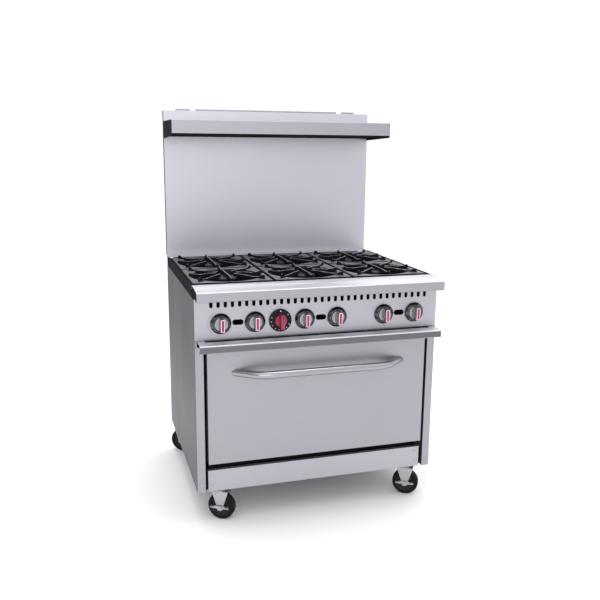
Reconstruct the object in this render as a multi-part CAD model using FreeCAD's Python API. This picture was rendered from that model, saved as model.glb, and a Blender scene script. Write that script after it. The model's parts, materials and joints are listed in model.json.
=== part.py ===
import FreeCAD, Part
import math
import os

from FreeCAD import Vector

# Six-burner commercial gas range with a standard oven, a high shelf and four casters.
# Millimetres. +Z is up, the front faces -Y, the floor is Z = 0 and X = 0 is the middle.
# All sizes below count Y from the front plane of the corner stiles, positive to the back;
# save() then moves every part so that the middle of the whole range lies on Y = 0.

# ---- driving dimensions -------------------------------------------------------------
HALF = 457.2               # half of the 36 inch body width
BODY_Z = 130.0             # underside of the body, set by the caster height
BODY_DEPTH = 752.0         # stiles to rear panel
SHEET = 1.2                # casing sheet
SIDE_TOP = 843.0           # top edge of the side panels
COOKTOP_Z = 888.0          # landing ledge and cooktop rim
STILE_W = 29.0             # front corner stiles

LEDGE_FRONT = -61.0        # nose of the landing ledge
LEDGE_BACK = 44.0
LEDGE_FACE_Z = (845.0, 878.0)
LEDGE_BEND_Y = 15.0        # where the ledge starts to slope down to its nose

PANEL_Z = (699.0, 845.5)   # control panel
PANEL_T = 1.5
KNOB_Z = 756.0
KNOB_OFFSET = 61.0         # each burner knob from the middle of its column
COLUMN_X = (-305.0, 0.0, 305.0)
THERMOSTAT_X = -152.4
VENT_COUNT = 33
VENT_PITCH = 25.2
VENT_MIDDLE_X = 4.0
VENT_W = 12.0
VENT_Z = (812.5, 838.0)
SIGHT_SIZE = (40.0, 20.0)
SIGHT_Z = 758.0

RAIL_HALF = 450.0          # crumb tray front
RAIL_Z = (669.0, 697.5)
RAIL_FRONT = -66.0
RAIL_SLOT_Y = (-22.0, -4.0)
TRAY_HALF = 421.0
TRAY_Z = (673.0, 690.0)
TRAY_BACK = 640.0

DOOR_HALF = 416.0
DOOR_Z = (237.0, 661.0)
DOOR_Y = (-3.0, 30.0)      # outer skin and its returns
HINGE_Y = 16.0
HINGE_Z = 223.0
HANDLE_Z = 575.0
HANDLE_Y = -60.0
HANDLE_R = 14.0
HANDLE_FOOT_X = 308.0
HANDLE_BEND_X = 235.0
HANDLE_BEND_R = 100.0

CHASSIS_Y = (21.0, 745.0)
CHASSIS_T = 2.0

KICK_HALF = 417.0
KICK_Y = 8.0
KICK_Z = (128.0, 209.0)

FACE_Y = 44.0              # front of the oven face frame
OVEN_HALF = 330.0
OVEN_Z = (296.0, 640.0)    # oven mouth
OVEN_FLOOR = 222.0         # bottom of the burner chamber under the oven deck
OVEN_BACK = 706.0
OVEN_SHEET = 1.5
RACK_Z = (400.0, 520.0)
RACK_HALF = 318.0
RACK_Y = (72.0, 690.0)

GRATE_X = (-302.0, 0.0, 302.0)
GRATE_Y = (226.0, 530.0)
GRATE_SIZE = (298.0, 300.0)
GRATE_Z = (861.3, 886.0)   # skirt bottom and rim top
GRATE_SEAT_Z = 861.0
BOWL_R = 138.0
BOWL_HOLE_R = 56.0
CORNER_HORN = (170.0, 902.0)
SIDE_HORN = (139.0, 899.0)
RIB_Z = (884.0, 896.0)     # underside over the burner head and crest
RIB_END_R = 36.0           # inner end of the free ribs; the front-to-back pair meets in the middle
BURNER_ROOM_R = 50.0       # clear of the burner head below the ribs

RISER_Y = 745.0            # front face of the back riser
RISER_BACK = 777.0
RISER_TOP = 1498.0
FLUE_TOP = 1506.0
REAR_STRIP_Y = 684.0
SHELF_Y = 488.0
SHELF_TOP = 1454.0
SHELF_LIP = 51.0
SHELF_SUPPORT_Z = (1383.0, 1394.0)   # bottom edge at the riser and at the front

PIPE_R = 13.335            # 3/4 inch NPT inlet nipple, outside radius
RAIL_PIPE_R = 12.7         # manifold and the tube that feeds it
NIPPLE_Y = 742.0           # front end of the nipple
MANIFOLD_Y = 40.0
MANIFOLD_Z = 722.0
SUPPLY_X = 410.0

CASTER_X = (372.0, 405.0)  # front and rear swivel axes
CASTER_Y = (50.0, 694.0)
WHEEL_R = 51.0
WHEEL_W = 32.0
TRAIL = 12.0               # wheel centre behind the swivel axis
SWIVEL_TURN = (-32.0, 148.0)   # stance of the front and rear casters
AXLE_R = 6.0
RUNNING = 0.06             # radial running clearance of pins and shafts

HANDLE_REACH = HANDLE_R - HANDLE_Y
Y_SHIFT = -(RISER_BACK - HANDLE_REACH) / 2.0


# ---- small geometry helpers -----------------------------------------------------------
def box(x0, x1, y0, y1, z0, z1):
    return Part.makeBox(x1 - x0, y1 - y0, z1 - z0, Vector(x0, y0, z0))


def side_box(side, x0, x1, y0, y1, z0, z1):
    """A box given for the right side (+X), or its mirror image for side = -1."""
    low, high = sorted((side * x0, side * x1))
    return box(low, high, y0, y1, z0, z1)


def rod(start, end, radius):
    start, end = Vector(*start), Vector(*end)
    return Part.makeCylinder(radius, start.distanceToPoint(end), start, end - start)


def fuse(shapes):
    first = shapes[0]
    return first.multiFuse(shapes[1:]).removeSplitter() if len(shapes) > 1 else first


def cut(shape, tools):
    return shape.cut(tools)


def group(shapes):
    return Part.makeCompound(shapes)


def prism_x(points, x0, x1):
    """A polygon of (y, z) points pushed along X."""
    corners = [Vector(x0, y, z) for y, z in points]
    face = Part.Face(Part.makePolygon(corners + corners[:1]))
    return face.extrude(Vector(x1 - x0, 0, 0))


def bent_sheet(points, thickness, x0, x1):
    """Folded sheet: (y, z) points of its middle surface, with round bends, pushed along X."""
    pieces = []
    for (ya, za), (yb, zb) in zip(points, points[1:]):
        length = math.hypot(yb - ya, zb - za)
        ny = -(zb - za) / length * thickness / 2
        nz = (yb - ya) / length * thickness / 2
        slab = [(ya + ny, za + nz), (yb + ny, zb + nz), (yb - ny, zb - nz), (ya - ny, za - nz)]
        pieces.append(prism_x(slab, x0, x1))
    for y, z in points[1:-1]:
        pieces.append(rod((x0, y, z), (x1, y, z), thickness / 2))
    return fuse(pieces)


def revolve(points, centre, axis_dir):
    """(radius, along) points turned about an axis through centre; axis_dir is 'x', 'y' or 'z'."""
    corners = [Vector(r, 0, a) for r, a in points]
    solid = Part.Face(Part.makePolygon(corners + corners[:1])).revolve(Vector(0, 0, 0), Vector(0, 0, 1), 360)
    if axis_dir == "y":
        solid.rotate(Vector(0, 0, 0), Vector(1, 0, 0), -90)
    if axis_dir == "x":
        solid.rotate(Vector(0, 0, 0), Vector(0, 1, 0), 90)
    solid.translate(Vector(*centre))
    return solid


def filleted_path(points, radius):
    """A wire through the points with every inner corner rounded."""
    points = [Vector(*p) for p in points]
    edges = []
    start = points[0]
    for before, corner, after in zip(points, points[1:], points[2:]):
        into = (corner - before).normalize()
        out = (after - corner).normalize()
        reach = radius * math.tan(into.getAngle(out) / 2)
        enter = corner - into * reach
        leave = corner + out * reach
        bisector = (out - into).normalize()
        centre = corner + bisector * math.hypot(reach, radius)
        middle = centre - bisector * radius
        edges.append(Part.makeLine(start, enter))
        edges.append(Part.Arc(enter, middle, leave).toShape())
        start = leave
    edges.append(Part.makeLine(start, points[-1]))
    return Part.Wire(edges)


def swept_rod(points, bend_radius, radius):
    path = filleted_path(points, bend_radius)
    first, second = Vector(*points[0]), Vector(*points[1])
    profile = Part.Wire([Part.makeCircle(radius, first, second - first)])
    return path.makePipeShell([profile], True, False)


def obround_y(x, z, width, height, y0, y1):
    """A slot tool with round ends that cuts through a sheet along Y."""
    if width >= height:
        radius = height / 2
        reach = width / 2 - radius
        ends = [(x - reach, z), (x + reach, z)]
        core = box(x - reach, x + reach, y0, y1, z - radius, z + radius)
    else:
        radius = width / 2
        reach = height / 2 - radius
        ends = [(x, z - reach), (x, z + reach)]
        core = box(x - radius, x + radius, y0, y1, z - reach, z + reach)
    return fuse([core] + [rod((ex, y0, ez), (ex, y1, ez), radius) for ex, ez in ends])


def save(name, shape):
    moved = shape.copy()
    moved.translate(Vector(0, Y_SHIFT, 0))
    moved.exportStep("parts/" + name + ".step")


# ---- casing -----------------------------------------------------------------------
SCREW_R = 2.0
SCREW_SPOTS = [(side * 447.0, z) for side in (-1, 1) for z in (710.0, 838.0)]
KICK_SCREWS = [(side * 400.0, z) for side in (-1, 1) for z in (150.0, 190.0)]


def side_panel(side):
    outer = prism_x([(0, BODY_Z), (BODY_DEPTH, BODY_Z), (BODY_DEPTH, SIDE_TOP), (2, SIDE_TOP),
                     (2, 698), (0, 698)], side * (HALF - SHEET), side * HALF)
    stile = side_box(side, HALF - STILE_W, HALF, 0, SHEET, BODY_Z, 698)
    stile_return = side_box(side, HALF - STILE_W, HALF - STILE_W + SHEET, 0, 20, BODY_Z, 698)
    return fuse([outer, stile, stile_return])


def rear_panel():
    sheet = box(-HALF + SHEET, HALF - SHEET, BODY_DEPTH - SHEET, BODY_DEPTH, 150, 840)
    louvres = [obround_y(x, z, 120, 8, 700, 800) for x in (-220, 0, 220) for z in (200, 220, 240)]
    pipe_hole = rod((SUPPLY_X, 700, MANIFOLD_Z), (SUPPLY_X, 800, MANIFOLD_Z), PIPE_R + 11)
    return cut(sheet, louvres + [pipe_hole])


def chassis_frame():
    """Welded angle frame, plate by plate: two cross beams, side rails, corner posts and tray rails."""
    front, rear = CHASSIS_Y
    t = CHASSIS_T
    flange = (BODY_Z + 0.3, BODY_Z + 0.3 + t)
    web_top, post_top = 165, 800
    pieces = []
    for web0, flange0 in ((front, front), (rear - t, rear - 28)):
        pieces.append(box(-455, 455, flange0, flange0 + 28, flange[0], flange[1]))
        pieces.append(box(-455, 455, web0, web0 + t, flange[1], web_top))
    for side in (-1, 1):
        pieces.append(side_box(side, 430, 455, front + 28, rear - 28, flange[0], flange[1]))
        pieces.append(side_box(side, 455 - t, 455, front + t, rear - t, flange[1], web_top))
        for end, plate_y in enumerate((front + t, rear - 2 * t)):
            gusset_top = flange[1] + 3
            x0, y0 = CASTER_X[end] - 60, CASTER_Y[end] - 27
            pieces.append(side_box(side, x0, 455 - t, y0, y0 + 63, flange[1], gusset_top))
            pieces.append(side_box(side, 430, 455 - t, plate_y, plate_y + t, gusset_top, post_top))
        for edge_y in (front + t, rear - t - 25):
            pieces.append(side_box(side, 455 - t, 455, edge_y, edge_y + 25, web_top, post_top))
        pieces.append(side_box(side, 405, 455 - t, front + 2 * t, rear - 2 * t, TRAY_Z[0] - 2.6, TRAY_Z[0] - 0.6))
    return group(pieces)


def kick_plate():
    face = box(-KICK_HALF, KICK_HALF, KICK_Y, KICK_Y + SHEET, KICK_Z[0], KICK_Z[1])
    top = box(-KICK_HALF, KICK_HALF, KICK_Y, KICK_Y + 16, KICK_Z[1] - SHEET, KICK_Z[1])
    ends = [side_box(side, KICK_HALF - SHEET, KICK_HALF, KICK_Y, KICK_Y + 16, 166, KICK_Z[1])
            for side in (-1, 1)]
    holes = [rod((x, 0, z), (x, 12, z), SCREW_R + 0.1) for x, z in KICK_SCREWS]
    return cut(fuse([face, top] + ends), holes)


def control_panel():
    z0, z1 = PANEL_Z
    sheet = box(-HALF, HALF, 0, PANEL_T, z0, z1)
    top_flange = box(-HALF + 4, HALF - 4, 0, 28, z1 - PANEL_T, z1)
    bottom_flange = box(-425, 425, 0, 12, z0, z0 + PANEL_T)
    vents = []
    first = VENT_MIDDLE_X - VENT_PITCH * (VENT_COUNT - 1) / 2
    for index in range(VENT_COUNT):
        height = VENT_Z[1] - VENT_Z[0]
        middle = sum(VENT_Z) / 2
        vents.append(obround_y(first + index * VENT_PITCH, middle, VENT_W, height, -1, 3))
    sights = [obround_y(x, SIGHT_Z, SIGHT_SIZE[0], SIGHT_SIZE[1], -1, 3) for x in COLUMN_X]
    shafts = [rod((x, -1, KNOB_Z), (x, 3, KNOB_Z), 6.5) for x in knob_places() + [THERMOSTAT_X]]
    screws = [rod((x, -1, z), (x, 3, z), SCREW_R + 0.1) for x, z in SCREW_SPOTS]
    return cut(fuse([sheet, top_flange, bottom_flange]), vents + sights + shafts + screws)


def panel_screws():
    screws = []
    for x, z, y in [(x, z, 0) for x, z in SCREW_SPOTS] + [(x, z, KICK_Y) for x, z in KICK_SCREWS]:
        head = rod((x, y - 2.2, z), (x, y, z), 4.0)
        cross = [box(x - 2.4, x + 2.4, y - 2.3, y - 1.2, z - 0.5, z + 0.5),
                 box(x - 0.5, x + 0.5, y - 2.3, y - 1.2, z - 2.4, z + 2.4)]
        shank = rod((x, y - 0.5, z), (x, y + 3.4, z), SCREW_R)
        screws.append(cut(fuse([head, shank]), cross))
    return group(screws)


def landing_ledge():
    nose = LEDGE_FRONT + SHEET / 2
    top = COOKTOP_Z - SHEET / 2
    profile = [(-30, LEDGE_FACE_Z[0] + SHEET / 2), (nose, LEDGE_FACE_Z[0] + SHEET / 2),
               (nose, LEDGE_FACE_Z[1]), (nose + 4, LEDGE_FACE_Z[1] + 2),
               (LEDGE_BEND_Y - 12, top - 0.8), (LEDGE_BEND_Y, top),
               (LEDGE_BACK, top), (LEDGE_BACK, top - 12)]
    return bent_sheet(profile, SHEET, -HALF, HALF)


def cooktop_frame():
    """Black burner box: side plates that also close the ledge's ends, seats and cross bars."""
    inner = HALF - 4.5
    wall_top = COOKTOP_Z - SHEET - 0.3
    seat = (GRATE_SEAT_Z - 3, GRATE_SEAT_Z)
    pieces = []
    for side in (-1, 1):
        pieces.append(side_box(side, HALF - 1.5, HALF, LEDGE_BACK + 1, RISER_Y - 0.3, SIDE_TOP + 0.3, wall_top))
        end = [(-58, 848), (43, 848), (43, 800), (LEDGE_BACK + 1, 800), (LEDGE_BACK + 1, 873),
               (43, 873), (43, 884), (10, 884), (-58, 876)]
        pieces.append(prism_x(end, side * inner, side * (HALF - 1.5)))
        pieces.append(side_box(side, inner, HALF - 1.5, LEDGE_BACK + 1, RISER_Y - 0.3, 800, wall_top))
        pieces.append(side_box(side, 430, inner, 49, 684, seat[0], seat[1]))
    pieces.append(box(-inner, inner, 46, 49, 800, 884))
    pieces.append(box(-inner, inner, 49, 85, seat[0], seat[1]))
    pieces.append(box(-inner, inner, REAR_STRIP_Y, REAR_STRIP_Y + 3, 800, 884))
    pieces.append(box(-inner, inner, 672, REAR_STRIP_Y, seat[0], seat[1]))
    row_joint = sum(GRATE_Y) / 2
    pieces.append(box(-inner, inner, row_joint - 6, row_joint + 6, seat[1] - 12, seat[1]))
    for x in (GRATE_X[0] / 2, GRATE_X[2] / 2):
        pieces.append(box(x - 6, x + 6, 49, REAR_STRIP_Y, seat[1] - 12, seat[1]))
    return fuse(pieces)


# ---- riser and high shelf --------------------------------------------------------------
def riser_front():
    y = RISER_Y + SHEET / 2
    strip_z = COOKTOP_Z - SHEET / 2
    profile = [(REAR_STRIP_Y, strip_z), (y, strip_z), (y, RISER_TOP - SHEET / 2),
               (y + 14, RISER_TOP - SHEET / 2)]
    return bent_sheet(profile, SHEET, -HALF, HALF)


def riser_back():
    front = RISER_Y + SHEET + 0.2
    pieces = []
    for side in (-1, 1):
        pieces.append(side_box(side, HALF - SHEET, HALF, front, RISER_BACK, 886, RISER_TOP - 2))
        pieces.append(side_box(side, 340, 402, RISER_BACK - SHEET, RISER_BACK, 1400, FLUE_TOP))
    pieces.append(box(-HALF, HALF, RISER_BACK - SHEET, RISER_BACK, 886, RISER_TOP - 2))
    pieces.append(box(-318, 318, RISER_BACK - SHEET, RISER_BACK, 1400, FLUE_TOP))
    pieces.append(box(-HALF, HALF, BODY_DEPTH + 0.3, RISER_BACK, 886, 886 + SHEET))
    pieces.append(box(-430, 430, BODY_DEPTH + 0.3, BODY_DEPTH + 0.3 + SHEET, 800, 887))
    return fuse(pieces)


def shelf():
    top = SHELF_TOP - SHEET / 2
    front = SHELF_Y + SHEET / 2
    bottom = SHELF_TOP - SHELF_LIP + SHEET / 2
    profile = [(front + 12, bottom), (front, bottom), (front, top), (RISER_Y - 0.3, top)]
    return bent_sheet(profile, SHEET, -HALF + 1.5, HALF - 1.5)


def shelf_support():
    """Black frame under the shelf: two end plates, a front channel and a rear rail."""
    z_back, z_front = SHELF_SUPPORT_Z
    top = SHELF_TOP
    pieces = []
    for side in (-1, 1):
        plate = [(SHELF_Y, z_front), (RISER_Y - 0.3, z_back), (RISER_Y - 0.3, top), (SHELF_Y, top)]
        pieces.append(prism_x(plate, side * (HALF - 1.5), side * HALF))
    pieces.append(box(-HALF, HALF, SHELF_Y + 2, SHELF_Y + 3.5, z_front, SHELF_TOP - SHELF_LIP - 0.3))
    pieces.append(box(-HALF, HALF, SHELF_Y + 2, SHELF_Y + 22, z_front, z_front + 1.5))
    pieces.append(box(-HALF, HALF, RISER_Y - 1.8, RISER_Y - 0.3, z_back + 8, top - SHEET - 0.3))
    return fuse(pieces)


# ---- oven ------------------------------------------------------------------------------
def oven_face_frame():
    plate = box(-427, 427, FACE_Y, FACE_Y + 2, BODY_Z + 6, 668)
    mouth = box(-OVEN_HALF, OVEN_HALF, FACE_Y - 1, FACE_Y + 3, OVEN_Z[0], OVEN_Z[1])
    pieces = [cut(plate, [mouth])]
    for side in (-1, 1):
        pieces.append(side_box(side, 412, 415, 8, FACE_Y, HINGE_Z - 8, HINGE_Z + 8))
        pieces.append(rod((side * 396, HINGE_Y, HINGE_Z), (side * 413, HINGE_Y, HINGE_Z), 4.0))
    return fuse(pieces)


def oven_liner():
    s = OVEN_SHEET
    y0 = FACE_Y + 2
    outer = box(-OVEN_HALF - s, OVEN_HALF + s, y0, OVEN_BACK + s, OVEN_FLOOR - s, OVEN_Z[1] + s)
    inner = box(-OVEN_HALF, OVEN_HALF, y0 - 1, OVEN_BACK, OVEN_FLOOR, OVEN_Z[1])
    return cut(outer, [inner])


def oven_deck():
    plate = box(-OVEN_HALF + 1, OVEN_HALF - 1, FACE_Y + 3, OVEN_BACK - 22, OVEN_Z[0], OVEN_Z[0] + 3)
    legs = [side_box(side, OVEN_HALF - 4, OVEN_HALF - 1, FACE_Y + 3, OVEN_BACK - 22, OVEN_FLOOR + 0.2,
                     OVEN_Z[0]) for side in (-1, 1)]
    slots = []
    for side in (-1, 1):
        for index in range(8):
            y = 120 + index * 70
            slots.append(side_box(side, 285, 315, y, y + 12, OVEN_Z[0] - 1, OVEN_Z[0] + 4))
    return cut(fuse([plate] + legs), slots)


def rack_guides():
    guides = []
    for side in (-1, 1):
        pieces = []
        for z in RACK_Z:
            pieces.append(side_box(side, 306, OVEN_HALF - 0.3, 60, 698, z - 6.4, z - 4.4))
            pieces.append(side_box(side, OVEN_HALF - 2.3, OVEN_HALF - 0.3, 60, 698, z - 6.4, z + 12))
        for y in (90, 370, 650):
            pieces.append(side_box(side, OVEN_HALF - 2.3, OVEN_HALF - 0.3, y, y + 12, OVEN_Z[0] + 4, 600))
        guides.append(fuse(pieces))
    return group(guides)


def oven_rack(z):
    """A wire rack whose frame rods are 8 mm and cross wires 4 mm; z is the frame's middle."""
    y0, y1 = RACK_Y
    frame = [rod((side * RACK_HALF, y0, z), (side * RACK_HALF, y1, z), 4) for side in (-1, 1)]
    frame += [rod((-RACK_HALF, y, z), (RACK_HALF, y, z), 4) for y in (y0, (y0 + y1) / 2, y1)]
    frame += [Part.makeSphere(4, Vector(side * RACK_HALF, y, z)) for side in (-1, 1) for y in (y0, y1)]
    count = 24
    for index in range(count):
        x = -RACK_HALF + (index + 1) * 2 * RACK_HALF / (count + 1)
        frame.append(rod((x, y0, z + 3), (x, y1, z + 3), 2))
    return fuse(frame)


def oven_insulation():
    y0, y1 = FACE_Y + 4, OVEN_BACK + 4
    pieces = [side_box(side, OVEN_HALF + 3, OVEN_HALF + 53, y0, 746, OVEN_FLOOR - 2, 668) for side in (-1, 1)]
    pieces.append(box(-OVEN_HALF - 3, OVEN_HALF + 3, y0, 746, OVEN_Z[1] + 3, 668))
    pieces.append(box(-OVEN_HALF - 3, OVEN_HALF + 3, y1, 746, OVEN_FLOOR - 2, OVEN_Z[1] + 3))
    return fuse(pieces)


def oven_burner():
    z = 258.0
    loop = swept_rod([(-140, 90, z), (-140, 600, z), (140, 600, z), (140, 90, z)], 60, 16)
    feed = rod((-140, 90, z), (140, 90, z), 16)
    caps = [Part.makeSphere(16, Vector(x, 90, z)) for x in (-140, 140)]
    return fuse([loop, feed] + caps)


# ---- oven door ---------------------------------------------------------------------------
def door_outer_panel():
    z0, z1 = DOOR_Z
    y0, y1 = DOOR_Y
    shell = box(-DOOR_HALF, DOOR_HALF, y0, y1, z0, z1)
    hollow = box(-DOOR_HALF + SHEET, DOOR_HALF - SHEET, y0 + SHEET, y1 + 1, z0 + SHEET, z1 - SHEET)
    return cut(shell, [hollow])


def door_inner_panel():
    z0, z1 = DOOR_Z
    y = DOOR_Y[1]
    plate = box(-DOOR_HALF, DOOR_HALF, y, y + 1.5, z0, z1)
    plug = box(-318, 318, y + 1.5, y + 12, OVEN_Z[0] + 12, OVEN_Z[1] - 12)
    return fuse([plate, plug])


def door_gasket():
    y = DOOR_Y[1] + 1.5
    outer = box(-356, 356, y, FACE_Y - 0.4, OVEN_Z[0] - 24, OVEN_Z[1] + 16)
    inner = box(-344, 344, y - 1, FACE_Y, OVEN_Z[0] - 12, OVEN_Z[1] + 4)
    return cut(outer, [inner])


def door_insulation():
    s = SHEET + 0.3
    return box(-DOOR_HALF + s, DOOR_HALF - s, DOOR_Y[0] + s, DOOR_Y[1] - 0.2, DOOR_Z[0] + s, DOOR_Z[1] - s)


def door_handle():
    foot_y = DOOR_Y[0]
    slope = (HANDLE_FOOT_X - HANDLE_BEND_X) / (foot_y - HANDLE_Y)
    start_x = HANDLE_FOOT_X + slope * 10
    points = [(-start_x, foot_y + 10, HANDLE_Z), (-HANDLE_BEND_X, HANDLE_Y, HANDLE_Z),
              (HANDLE_BEND_X, HANDLE_Y, HANDLE_Z), (start_x, foot_y + 10, HANDLE_Z)]
    tube = swept_rod(points, HANDLE_BEND_R, HANDLE_R).cut(swept_rod(points, HANDLE_BEND_R, HANDLE_R - 2))
    return tube.cut(box(-400, 400, foot_y, 60, HANDLE_Z - 40, HANDLE_Z + 40))


def door_hinge_brackets():
    brackets = []
    for side in (-1, 1):
        foot = side_box(side, 385, 404, 2, 30, DOOR_Z[0] - 3, DOOR_Z[0])
        plate = side_box(side, 398, 404, 9, 23, HINGE_Z - 7, DOOR_Z[0] - 2)
        bore = rod((side * 390, HINGE_Y, HINGE_Z), (side * 410, HINGE_Y, HINGE_Z), 4.0 + RUNNING)
        brackets.append(cut(fuse([foot, plate]), [bore]))
    return group(brackets)


# ---- gas train ----------------------------------------------------------------------------
VALVE_Y = (14.0, 62.0)
STEM_R = 4.0


def knob_places():
    """X of the six burner knobs: left of each column is its front burner, right its rear one."""
    return [x + side * KNOB_OFFSET for x in COLUMN_X for side in (-1, 1)]


def burner_valves():
    valves = []
    for x in knob_places():
        body = rod((x, VALVE_Y[0], KNOB_Z), (x, VALVE_Y[1], KNOB_Z), 13)
        union = rod((x, MANIFOLD_Y, MANIFOLD_Z + RAIL_PIPE_R + 0.3), (x, MANIFOLD_Y, KNOB_Z), 9)
        nozzle = rod((x, VALVE_Y[1], KNOB_Z), (x, VALVE_Y[1] + 14, KNOB_Z), 6)
        bore = rod((x, VALVE_Y[0] - 1, KNOB_Z), (x, VALVE_Y[0] + 26, KNOB_Z), STEM_R + RUNNING)
        valves.append(cut(fuse([body, union, nozzle]), [bore]))
    return group(valves)


def gas_manifold():
    x, z = SUPPLY_X, MANIFOLD_Z
    rail = rod((-390, MANIFOLD_Y, z), (x, MANIFOLD_Y, z), RAIL_PIPE_R)
    elbow = Part.makeSphere(RAIL_PIPE_R + 4, Vector(x, MANIFOLD_Y, z))
    supply = rod((x, MANIFOLD_Y, z), (x, NIPPLE_Y, z), RAIL_PIPE_R)
    coupling = rod((x, NIPPLE_Y - 55, z), (x, NIPPLE_Y - 20, z), PIPE_R + 4)
    nipple = rod((x, NIPPLE_Y, z), (x, RISER_BACK, z), PIPE_R)
    cap = rod((-400, MANIFOLD_Y, z), (-385, MANIFOLD_Y, z), RAIL_PIPE_R + 3)
    bore = rod((x, 300, z), (x, RISER_BACK + 1, z), 10)
    return cut(fuse([rail, elbow, supply, coupling, nipple, cap]), [bore])


def burner_heads():
    heads = []
    for x in GRATE_X:
        for y in GRATE_Y:
            profile = [(0, 838), (34, 838), (34, 846), (26, 852), (27, 858), (43, 870), (46, 874),
                       (46, 878), (40, 880), (14, 880), (10, 876), (0, 876)]
            head = revolve(profile, (x, y, 0), "z")
            ports = []
            for index in range(24):
                angle = 2 * math.pi * index / 24
                outward = (x + 60 * math.cos(angle), y + 60 * math.sin(angle), 868)
                inward = (x + 34 * math.cos(angle), y + 34 * math.sin(angle), 874)
                ports.append(rod(inward, outward, 1.6))
            heads.append(cut(head, ports))
    return group(heads)


def burner_tubes():
    """Mixing tubes from each valve's nozzle to the burner head above it."""
    tubes = []
    for column, x in enumerate(GRATE_X):
        for row, y in enumerate(GRATE_Y):
            mouth_x = COLUMN_X[column] + (KNOB_OFFSET if row else -KNOB_OFFSET)
            mouth = (mouth_x, VALVE_Y[1] + 20, KNOB_Z)
            elbow = (x, y, 792)
            tube = rod(mouth, elbow, 16)
            bell = rod((mouth_x, VALVE_Y[1] + 16, KNOB_Z), (mouth_x, VALVE_Y[1] + 34, KNOB_Z), 21)
            knee = Part.makeSphere(20, Vector(*elbow))
            neck = rod(elbow, (x, y, 837.7), 20)
            tubes.append(fuse([tube, bell, knee, neck]))
    nozzle_room = [rod((x, VALVE_Y[1] + 10, KNOB_Z), (x, VALVE_Y[1] + 30, KNOB_Z), 12) for x in knob_places()]
    return group([tube.cut(nozzle_room) for tube in tubes])


def oven_thermostat():
    body = box(THERMOSTAT_X - 24, THERMOSTAT_X + 24, 12, 58, KNOB_Z - 26, KNOB_Z + 26)
    body = cut(body, [rod((THERMOSTAT_X - 30, MANIFOLD_Y, MANIFOLD_Z), (THERMOSTAT_X + 30, MANIFOLD_Y, MANIFOLD_Z),
                          RAIL_PIPE_R + 0.3)])
    return cut(body, [rod((THERMOSTAT_X, 10, KNOB_Z), (THERMOSTAT_X, 40, KNOB_Z), STEM_R + RUNNING)])


def pilot_tubing():
    """A small pilot line along the front, and a branch from a tee to each column's pilot tip."""
    z = 808.0
    tip_y = GRATE_Y[0] + 104
    branches = (GRATE_X[0] + 100, GRATE_X[1] + 100, GRATE_X[2] - 100)
    pieces = [rod((-330, 60, z), (330, 60, z), 3.0)]
    for x in branches:
        pieces.append(box(x - 5, x + 5, 55, 65, z - 5, z + 5))
        pieces.append(rod((x, 62, z), (x, tip_y, z), 2.4))
        pieces.append(box(x - 4, x + 4, tip_y - 4, tip_y + 4, z - 4, z + 4))
        pieces.append(rod((x, tip_y, z), (x, tip_y, 832), 3.0))
    return fuse(pieces)


def knob_bezels():
    profile = [(25.5, 0), (37, 0), (37, -3), (35.5, -6), (30, -12), (27, -13.5), (25.5, -13.5)]
    return group([revolve(profile, (x, -0.1, KNOB_Z), "y") for x in knob_places()])


def burner_knob(x):
    skirt = revolve([(0, -2), (24.8, -2), (24.8, -15), (22, -19), (0, -19)], (x, 0, KNOB_Z), "y")
    grip = box(x - 7.5, x + 7.5, -43, -16, KNOB_Z - 23, KNOB_Z + 23)
    grip = grip.makeFillet(4, [e for e in grip.Edges if abs(e.Length - 27) < 0.5])
    bore = rod((x, -14, KNOB_Z), (x, 0, KNOB_Z), STEM_R)
    stem = rod((x, -14, KNOB_Z), (x, VALVE_Y[0] + 22, KNOB_Z), STEM_R)
    return group([cut(fuse([skirt, grip]), [bore]), stem])


def thermostat_knob():
    x = THERMOSTAT_X
    dial = revolve([(0, -2), (41, -2), (41, -6), (38, -8.5), (0, -8.5)], (x, 0, KNOB_Z), "y")
    hub = revolve([(0, -8), (22, -8), (20, -18), (0, -18)], (x, 0, KNOB_Z), "y")
    grip = box(x - 8, x + 8, -43, -14, KNOB_Z - 26, KNOB_Z + 26)
    grip = grip.makeFillet(4, [e for e in grip.Edges if abs(e.Length - 29) < 0.5])
    bore = rod((x, -14, KNOB_Z), (x, 0, KNOB_Z), STEM_R)
    stem = rod((x, -14, KNOB_Z), (x, 34, KNOB_Z), STEM_R)
    return group([cut(fuse([dial, hub, grip]), [bore]), stem])


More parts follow.
